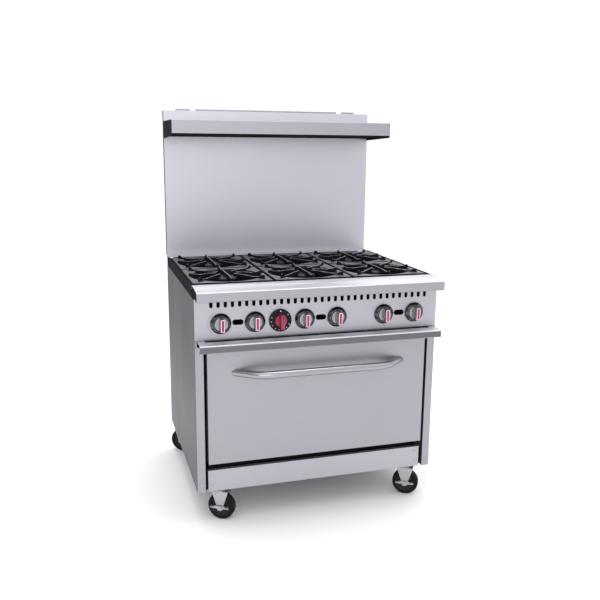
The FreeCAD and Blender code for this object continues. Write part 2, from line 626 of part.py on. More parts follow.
# ---- cooktop grates -------------------------------------------------------------------------
def grate():
    """One cast grate about its own middle: square rim, skirt, bowl and eight ribs over the burner."""
    hx, hy = GRATE_SIZE[0] / 2, GRATE_SIZE[1] / 2
    z0, z1 = GRATE_Z
    rim = box(-hx, hx, -hy, hy, z1 - 8, z1)
    skirt = cut(box(-hx, hx, -hy, hy, z0, z1), [box(-hx + 6, hx - 6, -hy + 6, hy - 6, z0 - 1, z1)])
    rim = cut(rim, [rod((0, 0, z0 - 1), (0, 0, z1 + 1), BOWL_R)])
    bowl = revolve([(BOWL_R + 1, z1), (BOWL_R - 7, z1), (BOWL_HOLE_R, 852), (BOWL_HOLE_R, 844),
                    (BOWL_HOLE_R + 5, 844), (BOWL_HOLE_R + 6, 849), (BOWL_R + 1, z1 - 7)],
                   (0, 0, 0), "z")
    ribs = []
    for index in range(8):
        reach, tip = CORNER_HORN if index % 2 else SIDE_HORN
        inner = -1 if index in (0, 4) else RIB_END_R
        outline = [(BOWL_HOLE_R + 2, 852), (BURNER_ROOM_R, 868), (BURNER_ROOM_R, RIB_Z[0]),
                   (inner, RIB_Z[0]), (inner, RIB_Z[1]), (BURNER_ROOM_R, RIB_Z[1]),
                   (reach - 34, RIB_Z[1] - 3), (reach - 9, tip - 1), (reach - 4, tip),
                   (reach, tip - 4), (reach + 1, z1 - 2), (BOWL_R, z1 - 4)]
        rib = prism_x(outline, -4.5, 4.5)
        rib.rotate(Vector(0, 0, 0), Vector(0, 0, 1), 45 * index)
        ribs.append(rib)
    return fuse([rim, skirt, bowl] + ribs)


# ---- crumb tray ---------------------------------------------------------------------------
def crumb_tray():
    """Shallow tray: a floor sheet with an upright wall on each edge."""
    z0, z1 = TRAY_Z
    front, floor_top = 0.5, z0 + SHEET
    walls = [box(-TRAY_HALF, TRAY_HALF, y, y + SHEET, floor_top, z1) for y in (front, TRAY_BACK - SHEET)]
    walls += [side_box(side, TRAY_HALF - SHEET, TRAY_HALF, front + SHEET, TRAY_BACK - SHEET, floor_top, z1)
              for side in (-1, 1)]
    return group([box(-TRAY_HALF, TRAY_HALF, front, TRAY_BACK, z0, floor_top)] + walls)


def crumb_tray_front():
    """Rolled front of the tray: flat top with a long finger slot, round nose, flat face, return."""
    half = SHEET / 2
    z0, z1 = RAIL_Z
    front = RAIL_FRONT + half
    radius = 8.0
    nose = []
    for step in range(5):
        angle = math.radians(90 * step / 4)
        nose.append((front + radius - radius * math.sin(angle), z1 - half - radius + radius * math.cos(angle)))
    profile = [(-1.2, z0 + 6), (-1.2, z1 - half)] + nose + [(front, z0 + half), (front + 22, z0 + half)]
    sheet = bent_sheet(profile, SHEET, -RAIL_HALF, RAIL_HALF)
    middle = sum(RAIL_SLOT_Y) / 2
    width = RAIL_SLOT_Y[1] - RAIL_SLOT_Y[0]
    reach = 425 - width / 2
    slot = [box(-reach, reach, RAIL_SLOT_Y[0], RAIL_SLOT_Y[1], z1 - 4, z1 + 2)]
    slot += [rod((x, middle, z1 - 4), (x, middle, z1 + 2), width / 2) for x in (-reach, reach)]
    bridge = box(-TRAY_HALF + 2, TRAY_HALF - 2, -1.2, 0.5, TRAY_Z[0], TRAY_Z[1])
    return fuse([cut(sheet, slot), bridge])


# ---- casters ----------------------------------------------------------------------------------
def placed(shape, x, y, turn=0):
    """Put a caster piece, drawn about its swivel axis, under the body at that stance."""
    moved = shape.copy()
    moved.rotate(Vector(0, 0, 0), Vector(0, 0, 1), turn)
    moved.translate(Vector(x, y, 0))
    return moved


def caster_plate():
    plate = box(-30, 30, -36, 36, 126.3, BODY_Z)
    race = revolve([(0, 122.3), (26, 122.3), (30, 126.3), (0, 126.3)], (0, 0, 0), "z")
    kingpin = rod((0, 0, 108.5), (0, 0, 126.5), AXLE_R)
    head = rod((0, 0, 106), (0, 0, 109.2), 10)
    return fuse([plate, race, kingpin, head])


def caster_fork():
    crown = box(-28, 42, -22, 22, 110, 114)
    race = revolve([(0, 114), (28, 114), (28, 118), (24, 121.8), (0, 121.8)], (0, 0, 0), "z")
    pieces = [crown, race]
    for side in (-1, 1):
        leg = [(TRAIL - 32, 114), (TRAIL + 30, 114), (TRAIL + 13, WHEEL_R), (TRAIL - 13, WHEEL_R)]
        face = Part.Face(Part.makePolygon([Vector(x, side * 19, z) for x, z in leg + leg[:1]]))
        pieces.append(face.extrude(Vector(0, side * 3, 0)))
        pieces.append(rod((TRAIL, side * 19, WHEEL_R), (TRAIL, side * 22, WHEEL_R), 13))
    pin_room = rod((0, 0, 100), (0, 0, 122.1), AXLE_R + RUNNING)
    axle_room = rod((TRAIL, -23, WHEEL_R), (TRAIL, 23, WHEEL_R), AXLE_R)
    fork = cut(fuse(pieces), [pin_room, axle_room])
    axle = rod((TRAIL, -27, WHEEL_R), (TRAIL, 27, WHEEL_R), AXLE_R)
    heads = [rod((TRAIL, side * 25.6, WHEEL_R), (TRAIL, side * 30, WHEEL_R), 9) for side in (-1, 1)]
    return group([fork, fuse([axle] + heads)])


def caster_wheel():
    half = WHEEL_W / 2
    profile = [(AXLE_R + RUNNING, -18.5), (14, -18.5), (16, -12), (34, -10), (38, -half), (44, -half),
               (49, -half + 3), (WHEEL_R, -half + 8), (WHEEL_R, half - 8), (49, half - 3), (44, half),
               (38, half), (34, 10), (16, 12), (14, 18.5), (AXLE_R + RUNNING, 18.5)]
    return revolve(profile, (TRAIL, 0, WHEEL_R), "y")


def caster_brake():
    """Stamped brake lever on the outer leg: a bar with a foot tab at each end, over the axle."""
    y0, y1 = -25.2, -22.4
    bar = box(TRAIL - 36, TRAIL + 34, y0, y1, WHEEL_R - 5, WHEEL_R + 6)
    boss = rod((TRAIL, y0, WHEEL_R), (TRAIL, y1, WHEEL_R), 13)
    tabs = [box(TRAIL - 36, TRAIL - 22, y0 - 9, y1, WHEEL_R + 3, WHEEL_R + 6),
            box(TRAIL + 20, TRAIL + 34, y0 - 9, y1, WHEEL_R + 3, WHEEL_R + 6)]
    bore = rod((TRAIL, y0 - 1, WHEEL_R), (TRAIL, y1 + 1, WHEEL_R), AXLE_R + RUNNING)
    return cut(fuse([bar, boss] + tabs), [bore])


# ---- write every node -------------------------------------------------------------------------
def main():
    os.makedirs("parts", exist_ok=True)
    save("left_side_panel", side_panel(-1))
    save("right_side_panel", side_panel(1))
    save("rear_panel", rear_panel())
    save("chassis_frame", chassis_frame())
    save("kick_plate", kick_plate())
    save("control_panel", control_panel())
    save("panel_screws", panel_screws())
    save("landing_ledge", landing_ledge())
    save("cooktop_frame", cooktop_frame())
    save("riser_front", riser_front())
    save("riser_back", riser_back())
    save("shelf", shelf())
    save("shelf_support", shelf_support())
    save("oven_face_frame", oven_face_frame())
    save("oven_liner", oven_liner())
    save("oven_deck", oven_deck())
    save("rack_guides", rack_guides())
    save("oven_insulation", oven_insulation())
    save("oven_burner", oven_burner())
    save("oven_rack_lower", oven_rack(RACK_Z[0]))
    save("oven_rack_upper", oven_rack(RACK_Z[1]))
    save("door_outer_panel", door_outer_panel())
    save("door_inner_panel", door_inner_panel())
    save("door_gasket", door_gasket())
    save("door_insulation", door_insulation())
    save("door_handle", door_handle())
    save("door_hinge_brackets", door_hinge_brackets())
    save("burner_valves", burner_valves())
    save("gas_manifold", gas_manifold())
    save("burner_heads", burner_heads())
    save("burner_tubes", burner_tubes())
    save("oven_thermostat", oven_thermostat())
    save("pilot_tubing", pilot_tubing())
    save("knob_bezels", knob_bezels())
    for number, x in enumerate(knob_places(), start=1):
        save("burner_knob_%d" % number, burner_knob(x))
    save("thermostat_knob", thermostat_knob())
    casting = grate()
    for row, y in zip(("front", "rear"), GRATE_Y):
        for column, x in zip(("left", "middle", "right"), GRATE_X):
            placed_grate = casting.copy()
            placed_grate.translate(Vector(x, y, 0))
            save("grate_%s_%s" % (row, column), placed_grate)
    save("crumb_tray", crumb_tray())
    save("crumb_tray_front", crumb_tray_front())
    plates = []
    for end, x, y, turn in zip(("front", "rear"), CASTER_X, CASTER_Y, SWIVEL_TURN):
        for hand, side in (("left", -1), ("right", 1)):
            corner = end + "_" + hand
            plates.append(placed(caster_plate(), side * x, y))
            save("caster_fork_" + corner, placed(caster_fork(), side * x, y, turn))
            save("caster_wheel_" + corner, placed(caster_wheel(), side * x, y, turn))
            if end == "front":
                save("caster_brake_" + corner, placed(caster_brake(), side * x, y, turn))
    save("caster_plates", group(plates))


main()
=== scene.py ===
import json
import math

import bmesh
import bpy
from mathutils import Matrix, Vector

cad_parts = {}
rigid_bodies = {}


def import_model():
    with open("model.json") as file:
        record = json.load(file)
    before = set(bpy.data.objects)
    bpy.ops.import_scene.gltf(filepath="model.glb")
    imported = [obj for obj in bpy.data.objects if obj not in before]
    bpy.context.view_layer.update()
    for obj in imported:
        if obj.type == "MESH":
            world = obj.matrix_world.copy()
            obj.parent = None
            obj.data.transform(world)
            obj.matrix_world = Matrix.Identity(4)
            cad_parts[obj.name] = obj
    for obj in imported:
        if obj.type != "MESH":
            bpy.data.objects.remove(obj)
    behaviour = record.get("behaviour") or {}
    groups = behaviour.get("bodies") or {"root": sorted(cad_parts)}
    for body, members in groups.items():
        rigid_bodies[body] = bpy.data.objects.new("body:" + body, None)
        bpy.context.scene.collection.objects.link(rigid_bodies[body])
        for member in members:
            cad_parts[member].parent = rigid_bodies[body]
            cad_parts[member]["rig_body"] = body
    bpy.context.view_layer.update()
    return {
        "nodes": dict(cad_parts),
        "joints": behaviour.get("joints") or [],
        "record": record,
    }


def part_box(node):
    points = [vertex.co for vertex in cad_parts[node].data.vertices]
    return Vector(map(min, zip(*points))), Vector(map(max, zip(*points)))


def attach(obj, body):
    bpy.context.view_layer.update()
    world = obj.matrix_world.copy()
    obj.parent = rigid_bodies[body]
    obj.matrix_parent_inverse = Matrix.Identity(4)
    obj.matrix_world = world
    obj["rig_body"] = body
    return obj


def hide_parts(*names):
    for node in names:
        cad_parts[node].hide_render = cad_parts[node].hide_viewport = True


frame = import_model()
NODES = frame["nodes"]
SLOT_MATERIAL = {row["node"]: row["material_slot"] for row in frame["record"]["subparts"]}
MM = 0.001

# Stretches of the object coordinates that noise is drawn in.
EVEN = (1, 1, 1)
ACROSS_Y = (6, 900, 6)       # fine grain lines stacked along Y
ACROSS_Z = (6, 6, 900)       # fine grain lines stacked along Z

# Places that several parts share, in metres.
SHEET = 1.2 * MM             # thickness of the pressed sheet
FRONT_Y = -0.3515            # plane of the corner stiles and the control panel
KNOB_HEIGHT = 0.756
FLUE_TAB_Z = 1.497           # above this, the back of the riser is the bare flue strip


# ---- shader node helpers ---------------------------------------------------------------------
def add(tree, kind, **settings):
    node = tree.nodes.new("ShaderNode" + kind)
    for key, value in settings.items():
        setattr(node, key, value)
    return node


def noise(tree, vector, scale, detail=4.0, roughness=0.5):
    node = add(tree, "TexNoise")
    node.inputs["Scale"].default_value = scale
    node.inputs["Detail"].default_value = detail
    node.inputs["Roughness"].default_value = roughness
    tree.links.new(vector, node.inputs["Vector"])
    return node.outputs["Fac"]


def stretched(tree, scale):
    """Object coordinates (the row frame, metres) scaled by a vector, to draw grain along an axis."""
    coords = add(tree, "TexCoord")
    mapping = add(tree, "Mapping")
    mapping.inputs["Scale"].default_value = scale
    tree.links.new(coords.outputs["Object"], mapping.inputs["Vector"])
    return mapping.outputs["Vector"]


def remap(tree, value, low, high, from_low=0.3, from_high=0.7):
    node = add(tree, "MapRange")
    node.inputs["From Min"].default_value = from_low
    node.inputs["From Max"].default_value = from_high
    node.inputs["To Min"].default_value = low
    node.inputs["To Max"].default_value = high
    tree.links.new(value, node.inputs["Value"])
    return node.outputs["Result"]


def blend_colour(tree, value, dark, light, start=0.32, end=0.68):
    """A colour that runs from dark to light as the value runs from start to end."""
    ramp = add(tree, "ValToRGB")
    ramp.color_ramp.elements[0].position = start
    ramp.color_ramp.elements[0].color = (*dark, 1)
    ramp.color_ramp.elements[1].position = end
    ramp.color_ramp.elements[1].color = (*light, 1)
    tree.links.new(value, ramp.inputs["Fac"])
    return ramp.outputs["Color"]


def combine(tree, operation, a, b):
    node = add(tree, "Math", operation=operation)
    for index, value in enumerate((a, b)):
        if isinstance(value, (int, float)):
            node.inputs[index].default_value = value
        else:
            tree.links.new(value, node.inputs[index])
    return node.outputs["Value"]


def bump(tree, shader, height, strength, distance):
    node = add(tree, "Bump")
    node.inputs["Strength"].default_value = strength
    node.inputs["Distance"].default_value = distance
    tree.links.new(height, node.inputs["Height"])
    tree.links.new(node.outputs["Normal"], shader.inputs["Normal"])


def new_material(name, metallic=0.0, **sockets):
    material = bpy.data.materials.new(name)
    material.use_nodes = True
    shader = material.node_tree.nodes["Principled BSDF"]
    shader.inputs["Metallic"].default_value = metallic
    for socket, value in sockets.items():
        shader.inputs[socket.replace("_", " ")].default_value = value
    return material, material.node_tree, shader


def scaled(colour, factor):
    """A lighter or darker colour."""
    return tuple(min(1.0, c * factor) for c in colour)


# ---- materials -------------------------------------------------------------------------------
def brushed_metal(name, colour, rough, grain, variation=0.05, strength=0.12, metallic=0.8,
                  painted_top_shade=0.0):
    """Sheet metal with fine grain lines, soft smudges in its roughness and a slightly uneven tone.
    Given a top shade, the tone falls off towards the top of the object: a painted shade."""
    material, tree, shader = new_material(name, metallic, Anisotropic=0.35)
    lines = noise(tree, stretched(tree, grain), scale=1.0, detail=6.0, roughness=0.6)
    smudges = noise(tree, stretched(tree, EVEN), scale=4.5, detail=3.0)
    tone = combine(tree, "ADD", combine(tree, "MULTIPLY", lines, 0.6),
                   combine(tree, "MULTIPLY", smudges, 0.4))
    hue = tone
    # Darker towards the top of the object: painted shade.
    if painted_top_shade:
        height = add(tree, "SeparateXYZ")
        tree.links.new(stretched(tree, EVEN), height.inputs["Vector"])
        fall = remap(tree, height.outputs["Z"], 0.7, 0.0, from_low=0.15, from_high=0.85)
        hue = combine(tree, "ADD", fall, combine(tree, "MULTIPLY", tone, 0.3))
        variation = painted_top_shade
    colours = blend_colour(tree, hue, scaled(colour, 1 - variation), scaled(colour, 1 + variation))
    tree.links.new(colours, shader.inputs["Base Color"])
    tree.links.new(remap(tree, tone, rough[0], rough[1]), shader.inputs["Roughness"])
    bump(tree, shader, lines, strength, distance=0.2 * MM)
    return material


def painted_metal(name, colour, rough, grain=420.0, strength=0.15, variation=0.25):
    """Powder coat: a fine orange-peel bump and a rubbed, uneven gloss."""
    material, tree, shader = new_material(name, 0.0, Specular_IOR_Level=0.01)
    peel = noise(tree, stretched(tree, EVEN), scale=grain, detail=3.0)
    wear = noise(tree, stretched(tree, EVEN), scale=9.0, detail=5.0)
    tree.links.new(blend_colour(tree, wear, scaled(colour, 1 - variation), scaled(colour, 1 + variation)),
                   shader.inputs["Base Color"])
    tree.links.new(remap(tree, wear, rough[0], rough[1]), shader.inputs["Roughness"])
    bump(tree, shader, peel, strength, distance=0.3 * MM)
    return material


def cast_metal(name, colour, rough, metallic, grain, specular):
    """Sand-cast metal: pitted bump at two scales and a dull, slightly mottled tone."""
    material, tree, shader = new_material(name, metallic, Specular_IOR_Level=specular)
    sand = noise(tree, stretched(tree, EVEN), scale=grain, detail=6.0, roughness=0.65)
    mottle = noise(tree, stretched(tree, EVEN), scale=26.0, detail=6.0, roughness=0.6)
    tree.links.new(blend_colour(tree, mottle, scaled(colour, 0.7), scaled(colour, 1.4)),
                   shader.inputs["Base Color"])
    tree.links.new(remap(tree, mottle, rough[0], rough[1]), shader.inputs["Roughness"])
    bump(tree, shader, combine(tree, "ADD", sand, mottle), strength=0.35, distance=0.6 * MM)
    return material


def chrome_plate(name, colour, rough):
    material, tree, shader = new_material(name, 1.0)
    haze = noise(tree, stretched(tree, EVEN), scale=60.0, detail=4.0)
    tree.links.new(blend_colour(tree, haze, scaled(colour, 0.96), scaled(colour, 1.03)),
                   shader.inputs["Base Color"])
    tree.links.new(remap(tree, haze, rough[0], rough[1]), shader.inputs["Roughness"])
    bump(tree, shader, haze, strength=0.02, distance=0.4 * MM)
    return material


def moulded_plastic(name, colour, rough, variation=0.06, specular=0.3):
    material, tree, shader = new_material(name, 0.0, Specular_IOR_Level=specular)
    grain = noise(tree, stretched(tree, EVEN), scale=900.0, detail=3.0)
    cloud = noise(tree, stretched(tree, EVEN), scale=40.0, detail=3.0)
    tree.links.new(blend_colour(tree, cloud, scaled(colour, 1 - variation), scaled(colour, 1 + variation)),
                   shader.inputs["Base Color"])
    tree.links.new(remap(tree, cloud, rough[0], rough[1]), shader.inputs["Roughness"])
    bump(tree, shader, grain, strength=0.08, distance=0.2 * MM)
    return material


def speckled_enamel(name, colour, speck):
    """Porcelain enamel: glossy dark glass with pale specks."""
    material, tree, shader = new_material(name, 0.0, Coat_Weight=0.6, Coat_Roughness=0.08)
    specks = noise(tree, stretched(tree, EVEN), scale=520.0, detail=2.0)
    colours = blend_colour(tree, specks, colour, speck, start=0.66, end=0.7)
    tree.links.new(colours, shader.inputs["Base Color"])
    tree.links.new(remap(tree, specks, 0.16, 0.3), shader.inputs["Roughness"])
    bump(tree, shader, specks, strength=0.05, distance=0.4 * MM)
    return material


def fibrous(name, colour, grain):
    material, tree, shader = new_material(name, 0.0, Sheen_Weight=0.3)
    fibres = noise(tree, stretched(tree, grain), scale=1.0, detail=8.0, roughness=0.7)
    tree.links.new(blend_colour(tree, fibres, scaled(colour, 0.6), scaled(colour, 1.25)),
                   shader.inputs["Base Color"])
    tree.links.new(remap(tree, fibres, 0.85, 1.0), shader.inputs["Roughness"])
    bump(tree, shader, fibres, strength=0.6, distance=1.0 * MM)
    return material


STAINLESS = (0.352, 0.344, 0.376)


def stainless(name, tone, grain=ACROSS_Z, rough=(0.38, 0.5), painted_top_shade=0.0):
    """The stainless sheet, lighter or darker by a factor; the lighter and darker copies are painted light and
    shade.
    """
    return brushed_metal(name, scaled(STAINLESS, tone), rough, grain, painted_top_shade=painted_top_shade)


MATERIALS = {
    "stainless": stainless("stainless", 1.0),
    # A darker copy of the stainless for the sides, darker still towards the top: painted shade.
    "stainless_side": stainless("stainless_side", 0.215, ACROSS_Y, (0.42, 0.54), painted_top_shade=0.45),
    # A darker copy of the stainless for the rail's front face: painted shade.
    "stainless_painted_shade": stainless("stainless_painted_shade", 0.4, rough=(0.34, 0.44)),
    # Lighter copies of the stainless for the control panel, riser front and kick plate: painted light.
    "stainless_panel_painted_light": stainless("stainless_panel_painted_light", 1.22, rough=(0.36, 0.46)),
    "stainless_riser_painted_light": stainless("stainless_riser_painted_light", 1.42),
    "stainless_kick_painted_light": stainless("stainless_kick_painted_light", 1.2),
    # A lighter copy for upward faces, which catch the overhead light: painted highlight.
    "stainless_top_painted_highlight": stainless("stainless_top_painted_highlight", 1.68, ACROSS_Y, (0.4, 0.5)),
    "stainless_tube": brushed_metal("stainless_tube", (0.35, 0.34, 0.37), (0.07, 0.13), (4, 700, 700)),
    "galvanised": brushed_metal("galvanised", (0.52, 0.53, 0.54), (0.38, 0.55), (30, 30, 30), 0.16),
    "black_paint": painted_metal("black_paint", (0.012, 0.012, 0.014), (0.6, 0.75)),
    "enamel": speckled_enamel("enamel", (0.035, 0.04, 0.055), (0.3, 0.32, 0.36)),
    "chrome": chrome_plate("chrome", (0.78, 0.78, 0.80), (0.05, 0.12)),
    "cast_iron": cast_metal("cast_iron", (0.009, 0.009, 0.012), (0.5, 0.7), 0.0, 380.0, 0.02),
    # Lighter copies of the cast iron for the flat rim tops and the rib crests: painted highlight.
    "cast_flat_painted_light": cast_metal("cast_flat_painted_light", (0.14, 0.14, 0.155), (0.4, 0.55), 0.2, 380.0, 0.05),
    "cast_crest_painted_highlight": cast_metal("cast_crest_painted_highlight", (0.19, 0.19, 0.205), (0.3, 0.45), 0.6, 380.0, 0.3),
    "burner_iron": cast_metal("burner_iron", (0.05, 0.055, 0.065), (0.4, 0.6), 0.3, 380.0, 0.2),
    # A dark copy of the chrome for the knob bezels, standing in for the dark surroundings they reflect:
    # painted reflection.
    "bezel_chrome": chrome_plate("bezel_chrome", (0.11, 0.11, 0.12), (0.08, 0.16)),
    "knob_plastic": brushed_metal("knob_plastic", (0.31, 0.30, 0.315), (0.16, 0.28), (300, 300, 300),
                                  variation=0.06, strength=0.05),
    "hub_plastic": moulded_plastic("hub_plastic", (0.014, 0.016, 0.014), (0.45, 0.6), 0.15, 0.2),
    "dial_plastic": moulded_plastic("dial_plastic", (0.008, 0.008, 0.01), (0.35, 0.5), 0.1, 0.15),
    "pointer_red": moulded_plastic("pointer_red", (0.30, 0.022, 0.065), (0.22, 0.34), 0.08, 0.5),
    "pointer_pale": moulded_plastic("pointer_pale", (0.80, 0.58, 0.66), (0.3, 0.4)),
    "mark_white": moulded_plastic("mark_white", (0.8, 0.8, 0.8), (0.4, 0.5)),
    "mark_grey": moulded_plastic("mark_grey", (0.16, 0.15, 0.18), (0.4, 0.5)),
    "brass": cast_metal("brass", (0.62, 0.45, 0.18), (0.25, 0.4), 1.0, 200.0, 0.5),
    "pipe_black": painted_metal("pipe_black", (0.03, 0.03, 0.03), (0.45, 0.6), 200.0, 0.3),
    "tube_aluminium": brushed_metal("tube_aluminium", (0.72, 0.72, 0.73), (0.3, 0.42), (400, 20, 400)),
    "mineral_wool": fibrous("mineral_wool", (0.5, 0.43, 0.2), (60, 300, 300)),
    "braid": fibrous("braid", (0.36, 0.35, 0.32), (500, 500, 500)),
    "zinc": brushed_metal("zinc", (0.42, 0.44, 0.44), (0.3, 0.45), (80, 80, 80), 0.1),
    "wheel_rubber": moulded_plastic("wheel_rubber", (0.008, 0.009, 0.008), (0.5, 0.68), 0.2, 0.1),
}


# ---- mesh helpers ----------------------------------------------------------------------------
def shade(mesh, sharp):
    """Smooth shading, broken at edges sharper than an angle in degrees."""
    mesh.polygons.foreach_set("use_smooth", [True] * len(mesh.polygons))
    mesh.set_sharp_from_angle(angle=math.radians(sharp))


def mesh_from(name, bm, material_names, sharp=35.0):
    """Turn a bmesh into a mesh with its materials."""
    bmesh.ops.recalc_face_normals(bm, faces=bm.faces)
    mesh = bpy.data.meshes.new(name)
    bm.to_mesh(mesh)
    bm.free()
    for material_name in material_names:
        mesh.materials.append(MATERIALS[material_name])
    shade(mesh, sharp)
    return mesh


def new_object(name, mesh, place, body, replaced=()):
    """A piece that shows a mesh at a place, rides on a body and may stand in for CAD nodes."""
    piece = bpy.data.objects.new(name, mesh)
    piece.matrix_world = place
    bpy.context.scene.collection.objects.link(piece)
    bpy.context.view_layer.update()
    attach(piece, body)
    if replaced:
        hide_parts(*replaced)
    return piece


def finish_object(name, bm, material_names, body, replaced=(), sharp=35.0):
    """A piece whose bmesh is already drawn in its place."""
    return new_object(name, mesh_from(name, bm, material_names, sharp), Matrix(), body, replaced)


def soften(piece, width, segments=2, angle=35.0):
    """A small rounded edge on a pressed-steel piece."""
    modifier = piece.modifiers.new("edges", "BEVEL")
    modifier.width = width
    modifier.segments = segments
    modifier.limit_method = "ANGLE"
    modifier.angle_limit = math.radians(angle)
    modifier.harden_normals = True


def millimetres(points):
    return [tuple(value * MM for value in point) for point in points]


def body_of_node(node):
    return NODES[node]["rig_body"]


def set_material(faces, index):
    for face in faces:
        face.material_index = index


def rounded_block(bm, low, high, radius, index=0, segments=3):
    """A box with rounded edges between two corners."""
    low, high = Vector(low), Vector(high)
    made = bmesh.ops.create_cube(bm, size=1.0)["verts"]
    bmesh.ops.scale(bm, vec=high - low, verts=made)
    bmesh.ops.translate(bm, vec=(low + high) / 2, verts=made)
    edges = list(dict.fromkeys(edge for vert in made for edge in vert.link_edges))    # in a fixed order
    faces = {face for vert in made for face in vert.link_faces}
    if radius:
        result = bmesh.ops.bevel(bm, geom=edges, offset=radius, segments=segments, profile=0.5,
                                 affect="EDGES", clamp_overlap=True)
        faces = {face for face in faces if face.is_valid}
        faces |= {face for vert in result["verts"] for face in vert.link_faces}
    set_material(faces, index)


def lathe(bm, profile, matrix, index=0, segments=64):
    """A closed (radius, along) outline turned about the local Z axis, then placed by a matrix."""
    rings = []
    for radius, along in profile:
        if radius == 0:
            rings.append([bm.verts.new(matrix @ Vector((0, 0, along)))])
            continue
        ring = []
        for step in range(segments):
            angle = 2 * math.pi * step / segments
            turned = Vector((radius * math.cos(angle), radius * math.sin(angle), along))
            ring.append(bm.verts.new(matrix @ turned))
        rings.append(ring)
    faces = []
    for a, b in zip(rings, rings[1:] + rings[:1]):
        if len(a) == 1 and len(b) == 1:
            continue
        for step in range(segments):
            after = (step + 1) % segments
            if len(a) == 1:
                corners = [a[0], b[step], b[after]]
            elif len(b) == 1:
                corners = [a[step], b[0], a[after]]
            else:
                corners = [a[step], b[step], b[after], a[after]]
            faces.append(bm.faces.new(corners))
    set_material(faces, index)


def loft(bm, sections, ring=True):
    """Skin over closed outlines with the same number of points; ring joins the last to the first."""
    rows = [[bm.verts.new(p) for p in section] for section in sections]
    count = len(rows[0])
    pairs = list(zip(rows, rows[1:] + rows[:1])) if ring else list(zip(rows, rows[1:]))
    for a, b in pairs:
        for step in range(count):
            after = (step + 1) % count
            bm.faces.new([a[step], a[after], b[after], b[step]])
    if not ring:
        bm.faces.new(rows[0])
        bm.faces.new(rows[-1])


def arc(centre, radius, start, end, steps):
    """(u, v) points of an arc between two angles in degrees."""
    points = []
    for step in range(steps + 1):
        angle = math.radians(start + (end - start) * step / steps)
        points.append((centre[0] + radius * math.cos(angle), centre[1] + radius * math.sin(angle)))
    return points


STRAIGHT = 0.02              # a turn of fewer radians than this isn't rounded


def filleted(points, radius, steps=6):
    """A plane polyline with its corners rounded, each by a parabola that meets both runs."""
    result = [points[0]]
    for before, corner, after in zip(points, points[1:], points[2:]):
        before, corner, after = Vector(before), Vector(corner), Vector(after)
        into = (corner - before).normalized()
        out = (after - corner).normalized()
        turn = into.angle_signed(out)
        if abs(turn) < STRAIGHT:
            result.append(tuple(corner))
            continue
        reach = radius * math.tan(abs(turn) / 2)
        for step in range(steps + 1):
            part = step / steps
            start, end = corner - into * reach, corner + out * reach
            point = start * (1 - part) ** 2 + corner * 2 * part * (1 - part) + end * part ** 2
            result.append(tuple(point))
    result.append(points[-1])
    return result


def folded_sheet(bm, points, thickness, x0, x1):
    """A closed sheet-metal strip: (y, z) middle line, thickened both ways and pushed along X."""
    line = [Vector(p) for p in points]
    left, right = [], []
    for place, point in enumerate(line):
        before = line[max(place - 1, 0)]
        after = line[min(place + 1, len(line) - 1)]
        along = (after - before).normalized()
        across = Vector((-along.y, along.x)) * thickness / 2
        left.append(point + across)
        right.append(point - across)
    outline = left + right[::-1]
    near = [bm.verts.new((x0, p.x, p.y)) for p in outline]
    far = [bm.verts.new((x1, p.x, p.y)) for p in outline]
    count = len(outline)
    for step in range(count):
        after = (step + 1) % count
        bm.faces.new([near[step], near[after], far[after], far[step]])
    for verts in (near, far):
        for step in range(len(line) - 1):
            opposite = count - 1 - step
            bm.faces.new([verts[step], verts[step + 1], verts[opposite - 1], verts[opposite]])


def cut_with(piece, cutter):
    """Cut one mesh out of another for good, and drop the cutter."""
    modifier = piece.modifiers.new("cut", "BOOLEAN")
    modifier.object = cutter
    modifier.solver = "EXACT"
    freeze(piece)
    bpy.data.objects.remove(cutter)


def freeze(piece):
    """Apply every modifier of a piece to its mesh."""
    graph = bpy.context.evaluated_depsgraph_get()
    mesh = bpy.data.meshes.new_from_object(piece.evaluated_get(graph))
    piece.modifiers.clear()
    old = piece.data
    piece.data = mesh
    bpy.data.meshes.remove(old)


# ---- carried-over CAD nodes ------------------------------------------------------------------
def paint_faces(piece, material_name, wanted):
    """Give the faces that a test picks a second material."""
    piece.data.materials.append(MATERIALS[material_name])
    last = len(piece.data.materials) - 1
    for face in piece.data.polygons:
        if wanted(face):
            face.material_index = last


def dress_nodes():
    """Every CAD node gets its slot's material and smooth shading by angle."""
    for name, node in NODES.items():
        node.data.materials.clear()
        node.data.materials.append(MATERIALS[SLOT_MATERIAL[name]])
        shade(node.data, 30.0)
    # The side faces of the side panels get the darker, top-shaded copy: painted shade.
    for name in ("left_side_panel", "right_side_panel"):
        paint_faces(NODES[name], "stainless_side", lambda face: abs(face.normal.x) > 0.7)
    # The control panel, riser front and kick plate get lighter copies of the stainless: painted light.
    for name, finish in (("control_panel", "stainless_panel_painted_light"), ("riser_front", "stainless_riser_painted_light"),
                         ("kick_plate", "stainless_kick_painted_light")):
        NODES[name].data.materials[0] = MATERIALS[finish]
    # Upward faces of the riser front and the shelf get the lighter top copy: painted highlight.
    paint_faces(NODES["riser_front"], "stainless_top_painted_highlight", lambda face: face.normal.z > 0.5)
    paint_faces(NODES["shelf"], "stainless_top_painted_highlight", lambda face: face.normal.z > 0.5)
    paint_faces(NODES["riser_back"], "stainless", lambda face: face.center.z > FLUE_TAB_Z)


# ---- camera, light and floor -----------------------------------------------------------------
# The camera that the photo was taken with: metres, degrees and millimetres.
CAMERA_AT = Vector((-0.8222, -2.7929, 1.3757))
CAMERA_YAW = 16.92
CAMERA_PITCH = 12.18
CAMERA_ROLL = 0.57
CAMERA_LENS = 44.05

